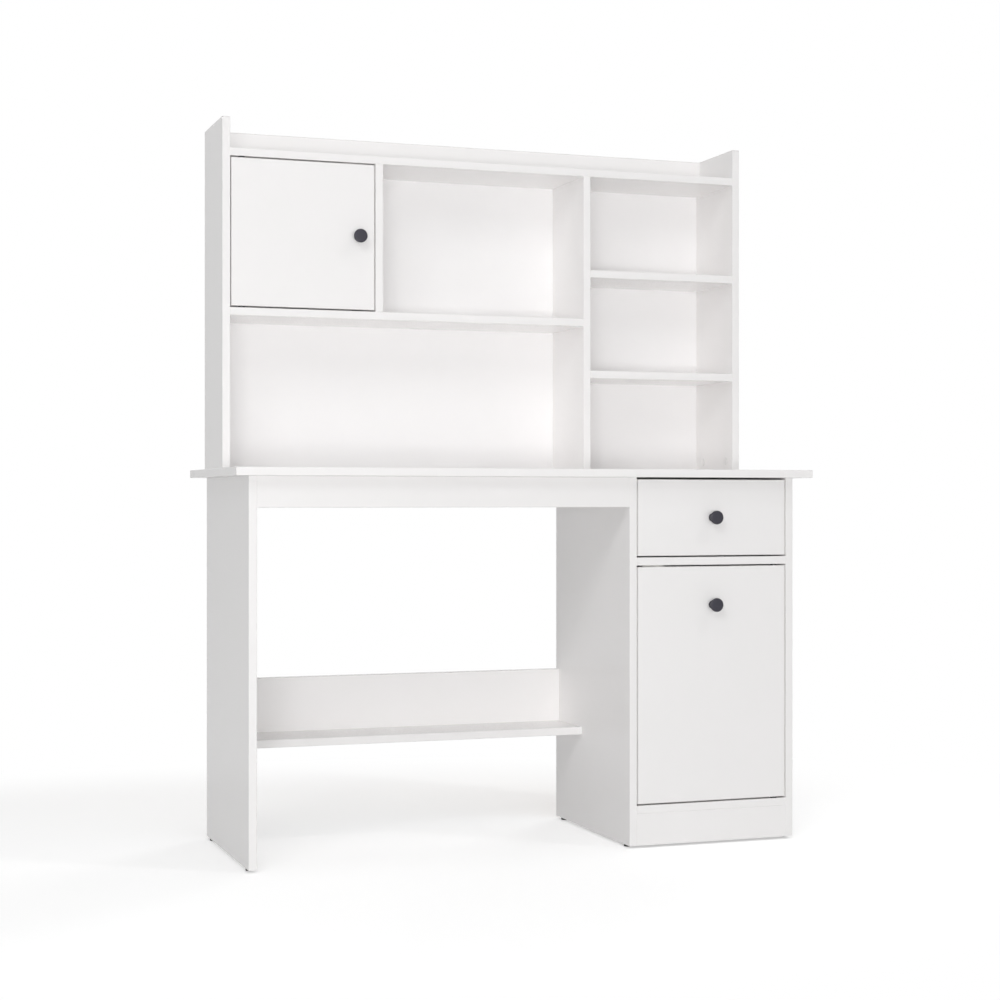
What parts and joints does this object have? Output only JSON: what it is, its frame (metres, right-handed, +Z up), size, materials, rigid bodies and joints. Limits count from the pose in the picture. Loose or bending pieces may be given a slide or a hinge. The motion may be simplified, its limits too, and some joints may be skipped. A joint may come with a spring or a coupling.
{
  "type": "student desk with hutch",
  "caption": "Pedestal desk of white board with an open kneehole, a drawer over a hinged cupboard door, and a hutch with a small door, cubbies and corner shelves.",
  "frame": {"origin": "on the floor, under the middle of the desktop", "axes": "+X to the right as seen from the front, +Y to the back, +Z up"},
  "size_m": [1.2, 0.46, 1.462],
  "materials": {
    "white_melamine": "white melamine faced chipboard, satin",
    "white_hardboard": "white painted hardboard, satin",
    "graphite_knob": "graphite lacquer, satin",
    "white_rail_paint": "white powder coat",
    "zinc_steel": "bright zinc plate",
    "white_nylon": "moulded nylon",
    "black_nylon": "moulded nylon",
    "white_catch_plastic": "moulded plastic",
    "beech_dowel": "bare fluted beech",
    "black_glide_plastic": "moulded plastic"
  },
  "bodies": {
    "desk": {"desktop": "white_melamine", "left_leg_panel": "white_melamine", "front_apron": "white_melamine", "low_back_board": "white_melamine", "low_shelf": "white_melamine", "cabinet_left_panel": "white_melamine", "cabinet_right_panel": "white_melamine", "cabinet_middle_board": "white_melamine", "cabinet_bottom_board": "white_melamine", "cabinet_plinth": "white_melamine", "hutch_left_side": "white_melamine", "hutch_right_side": "white_melamine", "hutch_top_shelf": "white_melamine", "hutch_back_rail": "white_melamine", "hutch_lower_shelf": "white_melamine", "hutch_tall_divider": "white_melamine", "hutch_short_divider": "white_melamine", "corner_shelf_lower": "white_melamine", "corner_shelf_upper": "white_melamine", "hutch_back_panel": "white_hardboard", "cabinet_back_panel": "white_hardboard", "slide_rail_left": "white_rail_paint", "slide_rail_right": "white_rail_paint", "cam_discs": "zinc_steel", "cam_bolts": "zinc_steel", "rail_axles": "zinc_steel", "hutch_door_bushes": "black_nylon", "lower_door_bushes": "black_nylon", "wood_dowels": "beech_dowel", "hutch_door_catch": "white_catch_plastic", "lower_door_catch": "white_catch_plastic", "floor_glides": "black_glide_plastic"},
    "drawer": {"drawer_front": "white_melamine", "drawer_box_front": "white_melamine", "drawer_box_back": "white_melamine", "drawer_left_side": "white_melamine", "drawer_right_side": "white_melamine", "drawer_bottom": "white_hardboard", "drawer_front_screws": "zinc_steel", "drawer_runner_left": "white_rail_paint", "drawer_runner_right": "white_rail_paint", "runner_axles": "zinc_steel", "drawer_knob": "graphite_knob", "drawer_knob_screw": "zinc_steel"},
    "rail_roller_left": {"rail_roller_left": "white_nylon"},
    "rail_roller_right": {"rail_roller_right": "white_nylon"},
    "runner_roller_left": {"runner_roller_left": "white_nylon"},
    "runner_roller_right": {"runner_roller_right": "white_nylon"},
    "hutch_door": {"hutch_door_panel": "white_melamine", "hutch_door_knob": "graphite_knob", "hutch_door_knob_screw": "zinc_steel", "hutch_door_pivot_pins": "zinc_steel", "hutch_door_strike": "zinc_steel"},
    "lower_door": {"lower_door_panel": "white_melamine", "lower_door_knob": "graphite_knob", "lower_door_knob_screw": "zinc_steel", "lower_door_pivot_pins": "zinc_steel", "lower_door_strike": "zinc_steel"}
  },
  "joints": [
    {"name": "drawer_slide", "type": "slide", "parent": "desk", "child": "drawer", "axis": [0, -1, 0], "range_m": [0, 0.26]},
    {"name": "rail_roller_left_spin", "type": "hinge", "parent": "desk", "child": "rail_roller_left", "pos_m": [0.2251, -0.17, 0.61], "axis": [1, 0, 0], "range_deg": [0, 1760]},
    {"name": "rail_roller_right_spin", "type": "hinge", "parent": "desk", "child": "rail_roller_right", "pos_m": [0.5489, -0.17, 0.61], "axis": [1, 0, 0], "range_deg": [0, 1760]},
    {"name": "runner_roller_left_spin", "type": "hinge", "parent": "drawer", "child": "runner_roller_left", "pos_m": [0.2274, 0.154, 0.61], "axis": [1, 0, 0], "range_deg": [0, 1760]},
    {"name": "runner_roller_right_spin", "type": "hinge", "parent": "drawer", "child": "runner_roller_right", "pos_m": [0.5466, 0.154, 0.61], "axis": [1, 0, 0], "range_deg": [0, 1760]},
    {"name": "hutch_door_hinge", "type": "hinge", "parent": "desk", "child": "hutch_door", "pos_m": [-0.52984, 0.053, 1.234], "axis": [0, 0, -1], "range_deg": [0, 110]},
    {"name": "lower_door_hinge", "type": "hinge", "parent": "desk", "child": "lower_door", "pos_m": [0.52984, -0.192, 0.326], "axis": [0, 0, 1], "range_deg": [0, 110]}
  ],
  "couplings": [
    {"joint": "rail_roller_left_spin", "follows": "drawer_slide", "rad_per_m": 117.65},
    {"joint": "rail_roller_right_spin", "follows": "drawer_slide", "rad_per_m": 117.65},
    {"joint": "runner_roller_left_spin", "follows": "drawer_slide", "rad_per_m": 117.65},
    {"joint": "runner_roller_right_spin", "follows": "drawer_slide", "rad_per_m": 117.65}
  ]
}
